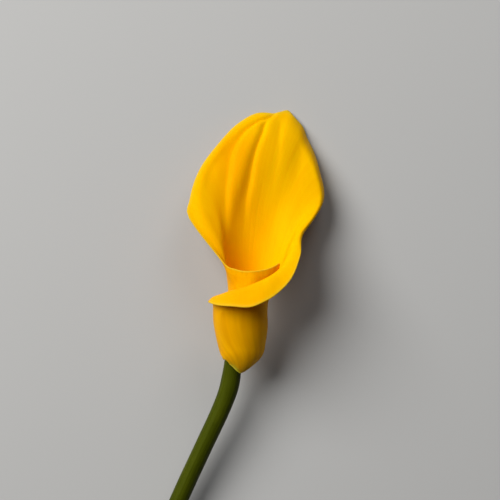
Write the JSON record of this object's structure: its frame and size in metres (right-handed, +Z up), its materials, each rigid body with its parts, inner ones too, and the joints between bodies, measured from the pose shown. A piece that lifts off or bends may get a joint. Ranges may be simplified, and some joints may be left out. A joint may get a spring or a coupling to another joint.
{
  "type": "calla lily flower",
  "caption": "Cut calla lily lying on its back: one pleated leaf rolled into a funnel with a drawn-out tip, a hidden floret spike and a curved round stem.",
  "frame": {"origin": "centre of the bounding box, at the surface that the flower lies on", "axes": "+Y from the stem's cut end towards the flower's tip, +Z up, out of the flower's mouth, +X right"},
  "size_m": [0.111, 0.289, 0.0423],
  "materials": {
    "spathe": "satin",
    "spadix": "matte",
    "stem": "satin"
  },
  "bodies": {
    "root": {"spathe": "spathe", "spadix": "spadix", "stem": "stem"}
  },
  "joints": []
}
